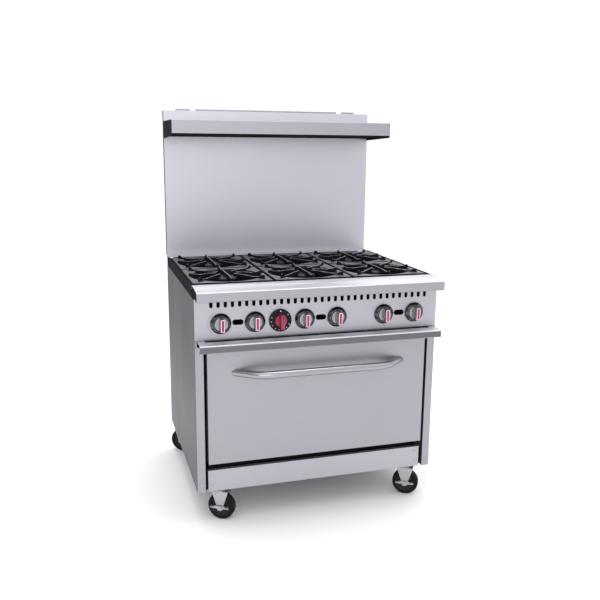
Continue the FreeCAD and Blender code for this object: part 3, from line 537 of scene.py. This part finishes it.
# Brightness of the world behind the camera, behind the object and at the camera's left.
WORLD_FRONT = 1.1
WORLD_BEHIND = 1.08
WORLD_LEFT = 0.3
OVERHEAD_POWER = 60
OVERHEAD_AT = (0.1, 0.2, 3.4)
OVERHEAD_SIZE = (2.6, 2.2)
KEY_POWER = 30
KEY_AT = (-0.9, -4.3, 1.7)
KEY_SIZE = (3.4, 1.5)
LIGHTS_AIM = (0, 0, 0.9)
SKY_STRENGTH = 0.6
SKY_ANGLE = 120
FLOOR_SIZE = 60


def camera():
    yaw, pitch, roll = (math.radians(a) for a in (CAMERA_YAW, CAMERA_PITCH, CAMERA_ROLL))
    forward = Vector((math.sin(yaw) * math.cos(pitch), math.cos(yaw) * math.cos(pitch), -math.sin(pitch)))
    level = Vector((math.cos(yaw), -math.sin(yaw), 0))
    plumb = level.cross(forward)
    right = level * math.cos(roll) + plumb * math.sin(roll)
    up = plumb * math.cos(roll) - level * math.sin(roll)
    data = bpy.data.cameras.new("camera")
    data.lens = CAMERA_LENS
    data.sensor_width = 36.0
    eye = bpy.data.objects.new("camera", data)
    turn = Matrix((right, up, -forward)).transposed().to_4x4()
    eye.matrix_world = Matrix.Translation(CAMERA_AT) @ turn
    bpy.context.scene.collection.objects.link(eye)
    bpy.context.scene.camera = eye


def area_light(name, place, size, power):
    data = bpy.data.lights.new(name, "AREA")
    data.shape = "RECTANGLE"
    data.size, data.size_y = size
    data.energy = power
    light = bpy.data.objects.new(name, data)
    away = Vector(place) - Vector(LIGHTS_AIM)
    light.matrix_world = Matrix.Translation(Vector(place)) @ away.to_track_quat("Z", "Y").to_matrix().to_4x4()
    bpy.context.scene.collection.objects.link(light)


def world():
    """A pale world, darker at the left, which keeps the left side darker than the front."""
    studio_world = bpy.data.worlds.new("studio")
    bpy.context.scene.world = studio_world
    studio_world.use_nodes = True
    tree = studio_world.node_tree
    background = tree.nodes["Background"]
    coords = add(tree, "TexCoord")
    parts = add(tree, "SeparateXYZ")
    tree.links.new(coords.outputs["Generated"], parts.inputs["Vector"])
    depth = remap(tree, parts.outputs["Y"], WORLD_FRONT, WORLD_BEHIND, from_low=-0.35, from_high=0.35)
    side = remap(tree, parts.outputs["X"], WORLD_LEFT, 1.0, from_low=-0.95, from_high=-0.35)
    behind = remap(tree, parts.outputs["Y"], 0.0, 1.0, from_low=-0.1, from_high=0.3)
    side = combine(tree, "MAXIMUM", side, behind)
    tree.links.new(combine(tree, "MULTIPLY", depth, side), background.inputs["Strength"])
    background.inputs["Color"].default_value = (0.985, 0.98, 1.0, 1)


def floor():
    bm = bmesh.new()
    bmesh.ops.create_grid(bm, x_segments=1, y_segments=1, size=FLOOR_SIZE)
    mesh = bpy.data.meshes.new("floor")
    bm.to_mesh(mesh)
    bm.free()
    material, tree, shader = new_material("floor", 0.0, Roughness=0.7)
    cloud = noise(tree, stretched(tree, EVEN), scale=1.2, detail=2.0)
    colours = blend_colour(tree, cloud, (0.9, 0.9, 0.905), (0.93, 0.93, 0.935))
    tree.links.new(colours, shader.inputs["Base Color"])
    mesh.materials.append(material)
    ground = bpy.data.objects.new("floor", mesh)
    bpy.context.scene.collection.objects.link(ground)


def studio():
    world()
    area_light("overhead", OVERHEAD_AT, OVERHEAD_SIZE, OVERHEAD_POWER)
    sun = bpy.data.objects.new("sky", bpy.data.lights.new("sky", "SUN"))
    sun.data.energy = SKY_STRENGTH
    sun.data.angle = math.radians(SKY_ANGLE)
    bpy.context.scene.collection.objects.link(sun)
    area_light("key", KEY_AT, KEY_SIZE, KEY_POWER)
    floor()
    bpy.context.scene.view_settings.view_transform = "Standard"


# ---- sheet-metal pieces ----------------------------------------------------------------------
LEDGE_LIP = 30 * MM          # flat strip at the rear of the top, and the return under the front
LEDGE_FACE = 33 * MM
LEDGE_HEM = 12 * MM
TRAY_NOSE = 9 * MM           # radius of the rounded rail
TRAY_RETURN = 22 * MM
TRAY_CORNER = 2 * MM
SLOT_HALF_LENGTH = 425 * MM  # the long finger slot in the top of the rail
SLOT_HALF_WIDTH = 9 * MM
SLOT_DEPTH = 6 * MM
SLOT_SETBACK = 11.8 * MM
STRIP_INSET = 31 * MM        # the flat strip behind the rail, at each end


def landing_ledge():
    low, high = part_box("landing_ledge")
    y0, y1, z0, z1 = low.y + SHEET / 2, high.y - SHEET / 2, low.z + SHEET / 2, high.z - SHEET / 2
    points = [(y0 + LEDGE_LIP, z0), (y0, z0), (y0, z0 + LEDGE_FACE), (y1 - LEDGE_LIP, z1), (y1, z1),
              (y1, z1 - LEDGE_HEM)]
    bm = bmesh.new()
    folded_sheet(bm, filleted(points, 4 * MM, 8), SHEET, low.x, high.x)
    piece = finish_object("ledge", bm, ["stainless"], "range_body", ["landing_ledge"], 60)
    # The ledge's top gets the lighter copy: painted highlight.
    paint_faces(piece, "stainless_top_painted_highlight", lambda face: face.normal.z > 0.5)


def slot_cutter(middle, top):
    """The block that cuts the finger slot."""
    bm = bmesh.new()
    rounded_block(bm, (-SLOT_HALF_LENGTH, middle - SLOT_HALF_WIDTH, top - SLOT_DEPTH),
                  (SLOT_HALF_LENGTH, middle + SLOT_HALF_WIDTH, top + SLOT_DEPTH), 0.0)
    mesh = bpy.data.meshes.new("cutter")
    bm.to_mesh(mesh)
    bm.free()
    cutter = bpy.data.objects.new("cutter", mesh)
    bpy.context.scene.collection.objects.link(cutter)
    return cutter


def tray_front():
    low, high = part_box("crumb_tray_front")
    y0, z0, z1 = low.y + SHEET / 2, low.z + SHEET / 2, high.z - SHEET / 2
    back = FRONT_Y - SHEET
    nose = [(back, z0 + 6 * MM), (back, z1)]
    nose += arc((y0 + TRAY_NOSE, z1 - TRAY_NOSE), TRAY_NOSE, 90, 180, 10)
    nose += [(y0, z0 + TRAY_CORNER), (y0 + TRAY_CORNER, z0), (y0 + TRAY_RETURN, z0)]
    bm = bmesh.new()
    folded_sheet(bm, nose, SHEET, low.x, high.x)
    rounded_block(bm, (low.x + STRIP_INSET, back - SHEET / 2, z0 + 4 * MM),
                  (high.x - STRIP_INSET, FRONT_Y + 0.5 * MM, z0 + 21 * MM), 0.0)
    piece = finish_object("tray_front", bm, ["stainless"], "tray", ["crumb_tray_front"], 40)
    cut_with(piece, slot_cutter(back - SLOT_SETBACK, z1))
    shade(piece.data, 40)
    # The rail's top and nose get the lighter copy: painted highlight.
    paint_faces(piece, "stainless_top_painted_highlight", lambda face: face.normal.z > 0.25)
    # The rail's front face gets the darker copy: painted shade.
    paint_faces(piece, "stainless_painted_shade", lambda face: face.normal.y < -0.9 and face.center.y < low.y + 2 * MM)
    # The front-facing walls at the back of the rail, seen through the finger slot, are made black: painted
    # shade in the recess.
    paint_faces(piece, "black_paint",
                lambda face: face.normal.y < -0.7 and face.center.y > FRONT_Y - 4.5 * MM)


# ---- grates ----------------------------------------------------------------------------------
def rounded_square(angle, half_x, half_y, corner):
    """Point where a ray from the middle meets a rectangle with rounded corners."""
    direction = Vector((math.cos(angle), math.sin(angle)))
    reach = min(half_x / max(abs(direction.x), 1e-9), half_y / max(abs(direction.y), 1e-9))
    point = direction * reach
    centre = Vector((math.copysign(half_x - corner, point.x), math.copysign(half_y - corner, point.y)))
    if abs(point.x) > abs(centre.x) and abs(point.y) > abs(centre.y):
        along = direction.dot(centre)
        reach = along + math.sqrt(max(along ** 2 - centre.length_squared + corner ** 2, 0.0))
    return direction * reach


RIM_HALF_X, RIM_HALF_Y = 149 * MM, 150 * MM
RIM_TOP, RIM_BOTTOM = 886 * MM, 861.3 * MM
RIM_PLATE = 8 * MM
RIM_WALL = 6 * MM
RIM_RAYS = 160
HOLE_RADIUS = 137            # mm
RIB_LOW, RIB_HIGH = 884, 896  # mm, underside and crest over the burner
BURNER_ROOM = 50             # mm, radius that the ribs leave free for the burner head
FLAT_RIM = 144 * MM          # the rim's top, painted lighter as a highlight, reaches this far from the middle


def grate_rim(bm):
    """The square frame with its round opening, swept around the middle."""
    sections = []
    for step in range(RIM_RAYS):
        angle = 2 * math.pi * step / RIM_RAYS
        outer = rounded_square(angle, RIM_HALF_X, RIM_HALF_Y, 5 * MM)
        wall = rounded_square(angle, RIM_HALF_X - RIM_WALL, RIM_HALF_Y - RIM_WALL, 3 * MM)
        hole = Vector((math.cos(angle), math.sin(angle))) * HOLE_RADIUS * MM
        lip = hole.normalized() * (HOLE_RADIUS + 2) * MM
        sections.append([(*outer, RIM_BOTTOM), (*outer, RIM_TOP - 1.5 * MM), (*(outer * 0.99), RIM_TOP),
                         (*lip, RIM_TOP), (*hole, RIM_TOP - 2 * MM), (*hole, RIM_TOP - RIM_PLATE),
                         (*wall, RIM_TOP - RIM_PLATE), (*wall, RIM_BOTTOM)])
    loft(bm, sections)


def grate_bowl(bm):
    """The dished plate inside the opening, with the hole that the burner head stands in."""
    profile = [(139, 886), (134, 885), (128, 881), (100, 869), (62, 853), (57, 850), (56, 844.2), (61, 844.2),
               (63, 848), (100, 862), (130, 875), (139, 879)]
    lathe(bm, millimetres(profile), Matrix(), segments=96)


def grate_rib(bm, turn, reach, tip, inner):
    """One rib: thin at its crest and thick at its foot, from its inner end to a raised horn."""
    crest = [(inner, RIB_HIGH), (BURNER_ROOM, RIB_HIGH), (BURNER_ROOM + 1, RIB_HIGH), (66, 895.5),
             (reach - 45, 892.5), (reach - 24, 893.5), (reach - 12, tip - 2), (reach - 8, tip - 0.3),
             (reach - 4, tip - 0.3), (reach, tip - 4), (reach + 0.5, 884)]
    foot_heights = [RIB_LOW, RIB_LOW, 866, 856, 872, 879, 879, 879, 879, 879, 879]
    spin = Matrix.Rotation(turn, 4, "Z")
    sections = []
    for (x, z_top), z_foot in zip(crest, foot_heights):
        outline = [(-5.2, z_foot), (-3.6, z_top - 2.5), (-2.4, z_top - 0.5), (0, z_top),
                   (2.4, z_top - 0.5), (3.6, z_top - 2.5), (5.2, z_foot)]
        sections.append([spin @ Vector((x * MM, y * MM, z * MM)) for y, z in outline])
    loft(bm, sections, ring=False)


def grate_mesh():
    """Rim, bowl and eight ribs fused into one casting, with painted highlights on its high faces."""
    bm = bmesh.new()
    grate_rim(bm)
    grate_bowl(bm)
    for step in range(8):
        reach, tip = (170, 902) if step % 2 else (139, 899)     # corner ribs, then side ribs
        inner = -2 if step in (2, 6) else 36                    # two ribs meet over the burner
        grate_rib(bm, math.radians(45 * step), reach, tip, inner)
    mesh = mesh_from("grate_blank", bm, ["cast_iron"])
    blank = bpy.data.objects.new("grate_blank", mesh)
    bpy.context.scene.collection.objects.link(blank)
    remesh = blank.modifiers.new("cast", "REMESH")
    remesh.mode = "VOXEL"
    remesh.voxel_size = 1.7 * MM
    smooth = blank.modifiers.new("soft", "SMOOTH")
    smooth.factor = 0.5
    smooth.iterations = 2
    thin = blank.modifiers.new("thin", "DECIMATE")
    thin.ratio = 0.22
    freeze(blank)
    result = blank.data
    result.polygons.foreach_set("use_smooth", [True] * len(result.polygons))
    # Flat rim tops and rib crests get the lighter copies: painted highlight.
    paint_faces(blank, "cast_flat_painted_light", lambda face: face.normal.z > 0.9 and face.center.z > RIM_TOP - 3 * MM
                and max(abs(face.center.x), abs(face.center.y)) < FLAT_RIM)
    paint_faces(blank, "cast_crest_painted_highlight", lambda face: face.normal.z > 0.8 and face.center.z > 890 * MM)
    bpy.data.objects.remove(blank)
    result.name = "grate"
    return result


def grates():
    mesh = grate_mesh()
    for row in ("front", "rear"):
        for column in ("left", "middle", "right"):
            node = f"grate_{row}_{column}"
            low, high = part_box(node)
            middle = (low + high) / 2
            place = Matrix.Translation((middle.x, middle.y, 0))
            new_object(f"{node}_casting", mesh, place, body_of_node(node), [node])


# ---- controls --------------------------------------------------------------------------------
# Turns a part that is drawn facing local +Z towards the user.
OUTWARD = Matrix(((1, 0, 0, 0), (0, 0, -1, 0), (0, 1, 0, 0), (0, 0, 0, 1)))
MARK_HEIGHT = 0.12           # mm, thickness of a printed mark
MARK_OUTLINE = [(-0.3, 0), (0.3, 0), (0.3, MARK_HEIGHT), (-0.3, MARK_HEIGHT)]
TICK_ABOVE = 45 * MM         # dot over a knob's axis
INDEX_ABOVE = 46 * MM        # triangle over the dial's axis
DOT_CIRCLE = 34 * MM         # radius that the dial's dots stand on
DOT_ANGLES = [90, 38] + list(range(160, 345, 25))


def control_x(node):
    low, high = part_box(node)
    return (low.x + high.x) / 2


def control_place(x):
    return Matrix.Translation((x, FRONT_Y, KNOB_HEIGHT)) @ OUTWARD


def stem(bm, radius, inner, outer, index):
    lathe(bm, millimetres([(0, -inner), (radius, -inner), (radius, outer), (0, outer)]), Matrix(), index, 24)


def knob_mesh():
    """Barrel, finger grip, and a pale inlay with a red pointer stripe; drawn facing +Z."""
    bm = bmesh.new()
    barrel = [(0, 2), (24.4, 2), (24.8, 2.6), (24.8, 13)] + arc((21.3, 13), 3.5, 0, 90, 6)
    barrel += [(12, 17), (0, 17.4)]
    lathe(bm, millimetres(barrel), Matrix(), 0, 72)
    rounded_block(bm, (-7.5 * MM, -23 * MM, 12 * MM), (7.5 * MM, 23 * MM, 42.4 * MM), 2.2 * MM, 0, 4)
    rounded_block(bm, (-6.7 * MM, -22 * MM, 41 * MM), (6.7 * MM, 22 * MM, 42.8 * MM), 0.6 * MM, 1, 2)
    rounded_block(bm, (-4.2 * MM, -19.5 * MM, 42 * MM), (4.2 * MM, 19.5 * MM, 43 * MM), 0.3 * MM, 2, 2)
    stem(bm, 4.0, 36, 5, 3)
    return mesh_from("burner_knob", bm, ["knob_plastic", "pointer_pale", "pointer_red", "brass"], 40)


def burner_knobs():
    mesh = knob_mesh()
    bezel = bmesh.new()
    profile = ([(25.5, 0.2), (36.6, 0.2), (37, 0.8), (37, 3)] + arc((33.5, 3.2), 3.5, 0, 40, 4)
               + [(31, 10.5), (28.4, 13)] + arc((27, 12.2), 1.4, 60, 170, 5))
    for number in range(1, 7):
        node = f"burner_knob_{number}"
        place = control_place(control_x(node))
        new_object(f"{node}_turned", mesh, place, body_of_node(node), [node])
        lathe(bezel, millimetres(profile), place, 0, 72)
    # The bezels take the dark chrome copy: painted reflection.
    finish_object("bezel_rings", bezel, ["bezel_chrome"], "range_body", ["knob_bezels"], 50)


def thermostat():
    """Flat dial with dots, a round hub and a red finger grip."""
    bm = bmesh.new()
    dial = [(0, 2), (40.4, 2), (41, 2.6), (41, 5.2)] + arc((38.6, 5.2), 2.4, 0, 80, 5) + [(23, 8.2), (0, 8.2)]
    lathe(bm, millimetres(dial), Matrix(), 0, 96)
    hub = [(0, 7.9), (22, 7.9), (22, 11)] + arc((17.5, 13.5), 4.5, 0, 90, 6) + [(0, 18.4)]
    lathe(bm, millimetres(hub), Matrix(), 1, 72)
    rounded_block(bm, (-7.6 * MM, -25.5 * MM, 9 * MM), (7.6 * MM, 25.5 * MM, 42.6 * MM), 2.4 * MM, 1, 4)
    rounded_block(bm, (-1.1 * MM, 10 * MM, 41.9 * MM), (1.1 * MM, 23 * MM, 43 * MM), 0.3 * MM, 0, 2)
    for degrees in DOT_ANGLES:
        angle = math.radians(degrees)
        place = Matrix.Translation((DOT_CIRCLE * math.cos(angle), DOT_CIRCLE * math.sin(angle), 0))
        radius = 2.2 if degrees == 90 else 1.5
        lathe(bm, millimetres([(0, 7.5), (radius, 7.5), (radius, 8.42), (0, 8.42)]), place, 2, 16)
    stem(bm, 4.0, 34, 5, 3)
    mesh = mesh_from("thermostat_dial", bm, ["dial_plastic", "pointer_red", "mark_white", "brass"], 40)
    new_object("thermostat_turned", mesh, control_place(control_x("thermostat_knob")),
               body_of_node("thermostat_knob"), ["thermostat_knob"])


def panel_marks():
    """Plain printed marks: a dot over every knob, an arc beside the first, and the dial's triangle."""
    bm = bmesh.new()
    for number in range(1, 7):
        place = control_place(control_x(f"burner_knob_{number}")) @ Matrix.Translation((0, TICK_ABOVE, 0))
        lathe(bm, millimetres([(0, 0), (1.6, 0), (1.6, MARK_HEIGHT), (0, MARK_HEIGHT)]), place, 0, 16)
    place = control_place(control_x("burner_knob_1"))
    for radius in (44.0, 46.5):
        sections = []
        for u, v in arc((0, 0), radius, 118, 236, 30):
            outward = Vector((u, v)).normalized()
            sections.append([place @ Vector((*((Vector((u, v)) + outward * side) * MM), lift * MM))
                             for side, lift in MARK_OUTLINE])
        loft(bm, sections, ring=False)
    finish_object("panel_marks", bm, ["mark_grey"], "range_body")
    bm = bmesh.new()
    place = control_place(control_x("thermostat_knob")) @ Matrix.Translation((0, INDEX_ABOVE, 0))
    points = [(-2.2, 3), (2.2, 3), (0, -2.2)]
    loft(bm, [[place @ Vector((u * MM, v * MM, w * MM)) for u, v in points] for w in (0, MARK_HEIGHT)],
         ring=False)
    finish_object("thermostat_index", bm, ["dial_plastic"], "range_body")


# ---- door handle -----------------------------------------------------------------------------
HANDLE_RADIUS = 14 * MM
HANDLE_FOOT_X = 308 * MM
HANDLE_BEND_X = 235 * MM
HANDLE_BEND_RADIUS = 100 * MM
HANDLE_SIDES = 40
DOOR_Y = FRONT_Y - 3 * MM    # face of the door
FOOT_OVERRUN = 12 * MM       # the tube's line runs on behind the door, and is then cut to its face


def handle():
    """A tube bent back to the door at both ends, its feet cut flat against the door."""
    low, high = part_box("door_handle")
    z = (low.z + high.z) / 2
    middle_y = low.y + HANDLE_RADIUS
    slope = (HANDLE_FOOT_X - HANDLE_BEND_X) / (DOOR_Y - middle_y)
    end_x, end_y = HANDLE_FOOT_X + slope * FOOT_OVERRUN, DOOR_Y + FOOT_OVERRUN
    corners = [(-end_x, end_y), (-HANDLE_BEND_X, middle_y), (HANDLE_BEND_X, middle_y), (end_x, end_y)]
    path = filleted(corners, HANDLE_BEND_RADIUS, 20)
    above = Vector((0, 0, 1))
    sections = []
    for place, point in enumerate(path):
        before, after = path[max(place - 1, 0)], path[min(place + 1, len(path) - 1)]
        along = Vector((after[0] - before[0], after[1] - before[1], 0)).normalized()
        across = along.cross(above)
        ring = []
        for step in range(HANDLE_SIDES):
            angle = 2 * math.pi * step / HANDLE_SIDES
            spot = Vector((*point, z)) + HANDLE_RADIUS * (math.cos(angle) * across + math.sin(angle) * above)
            if place in (0, len(path) - 1):
                spot += along * ((DOOR_Y - 0.2 * MM - spot.y) / along.y)
            ring.append(spot)
        sections.append(ring)
    bm = bmesh.new()
    loft(bm, sections, ring=False)
    finish_object("handle_tube", bm, ["stainless_tube"], "oven_door", ["door_handle"], 60)


# ---- casters ---------------------------------------------------------------------------------
WHEEL_RADIUS = 51.0          # mm, and the height of the axle
TRAIL = 12.0                 # mm, axle behind the kingpin
LEG_OFFSET = 20.5            # mm, middle of a fork leg from the caster's middle plane
FRONT_STANCE = -32           # degrees that the casters are turned; the rear ones point the other way
SIDEWAYS = Matrix.Rotation(math.radians(90), 4, "X")
AXLE = Matrix.Translation((TRAIL * MM, 0, WHEEL_RADIUS * MM)) @ SIDEWAYS


def wheel_mesh():
    """Moulded rubber tread on a plastic hub, turned about local Z."""
    bm = bmesh.new()
    tread = ([(38.5, -14.6), (44, -15)] + arc((44, -8), 7, -90, 0, 8) + arc((44, 8), 7, 0, 90, 8)
             + [(38.5, 14.6)])
    lathe(bm, millimetres(tread), Matrix(), 0, 96)
    half = [(6.2, -18.4), (13.2, -18.4), (14.5, -17), (15.5, -11.5), (18, -10), (33, -9.4), (36, -11),
            (38.6, -14)]
    hub = half + [(radius, -along) for radius, along in reversed(half)]
    lathe(bm, millimetres(hub), Matrix(), 1, 96)
    return mesh_from("caster_wheel", bm, ["wheel_rubber", "hub_plastic"], 35)


def plate(bm, outline, place, half_thickness):
    """A flat plate with that (u, v) outline, in mm, lying in the local XY plane of a matrix."""
    loft(bm, [[place @ Vector((u * MM, v * MM, w * MM)) for u, v in outline]
              for w in (-half_thickness, half_thickness)], ring=False)


def on_edge(offset):
    """Local XY onto the caster's XZ plane, moved along its Y, in mm."""
    return Matrix.Translation((0, offset * MM, 0)) @ SIDEWAYS


def hexagon(radius, centre):
    return arc(centre, radius, 0, 300, 5)


def fork_mesh():
    """Pressed fork: crown, raceway, two tapered legs and the axle bolt with its nut."""
    bm = bmesh.new()
    rounded_block(bm, (-28 * MM, -21.5 * MM, 110 * MM), (42 * MM, 21.5 * MM, 114 * MM), 1.5 * MM, 0, 3)
    race = [(7, 113), (26, 113)] + arc((26, 115.5), 2.2, -90, 60, 6) + [(24, 121.4), (22, 121.7), (7, 121.7)]
    lathe(bm, millimetres(race), Matrix(), 0, 64)
    leg = [(TRAIL - 32, 114), (TRAIL - 30.5, 106), (TRAIL - 12.6, 55)]
    leg += arc((TRAIL, WHEEL_RADIUS), 13, 165, 375, 18)
    leg += [(TRAIL + 13.2, 58), (TRAIL + 29, 106), (TRAIL + 30, 114)]
    for side in (-1, 1):
        plate(bm, leg, on_edge(side * LEG_OFFSET), 1.5)
        plate(bm, hexagon(9, (TRAIL, WHEEL_RADIUS)), on_edge(side * 27.4), 2.4)
    bolt = [(0, -29.9), (5.4, -29.9), (6, -29.2), (6, 29.2), (5.4, 29.9), (0, 29.9)]
    lathe(bm, millimetres(bolt), AXLE, 0, 32)
    return mesh_from("caster_fork", bm, ["zinc"], 30)


def brake_mesh():
    """Stamped brake lever on the outer leg, with a foot tab at each end."""
    bm = bmesh.new()
    bar = [(TRAIL - 36, WHEEL_RADIUS + 6), (TRAIL - 36, WHEEL_RADIUS - 4), (TRAIL - 12, WHEEL_RADIUS - 5)]
    bar += arc((TRAIL, WHEEL_RADIUS), 13, 205, 335, 12)
    bar += [(TRAIL + 12, WHEEL_RADIUS - 5), (TRAIL + 34, WHEEL_RADIUS - 4), (TRAIL + 34, WHEEL_RADIUS + 6)]
    plate(bm, bar, on_edge(-23.8), 1.4)
    for start in (-36, 20):
        rounded_block(bm, ((TRAIL + start) * MM, -34.2 * MM, (WHEEL_RADIUS + 3) * MM),
                      ((TRAIL + start + 14) * MM, -22.4 * MM, (WHEEL_RADIUS + 6) * MM), 1.2 * MM, 0, 3)
    return mesh_from("caster_brake", bm, ["zinc"], 30)


def casters():
    wheel, fork, brake = wheel_mesh(), fork_mesh(), brake_mesh()
    for joint in frame["joints"]:
        if not joint["name"].startswith("caster_swivel_"):
            continue
        corner = joint["name"].removeprefix("caster_swivel_")       # such as front_left
        x, y, _ = joint["pos_m"]
        stance = math.radians(FRONT_STANCE if y < 0 else FRONT_STANCE + 180)
        place = Matrix.Translation((x, y, 0)) @ Matrix.Rotation(stance, 4, "Z")
        piece = new_object(f"fork_{corner}", fork, place, f"swivel_{corner}",
                           [f"caster_fork_{corner}"])
        soften(piece, 0.6 * MM)
        new_object(f"tyre_{corner}", wheel, place @ AXLE, f"wheel_{corner}",
                   [f"caster_wheel_{corner}"])
        if corner.startswith("front"):
            piece = new_object(f"lever_{corner}", brake, place, f"brake_{corner}",
                               [f"caster_brake_{corner}"])
            soften(piece, 0.5 * MM)


def build():
    dress_nodes()
    landing_ledge()
    tray_front()
    grates()
    burner_knobs()
    thermostat()
    panel_marks()
    handle()
    casters()


build()
camera()
studio()
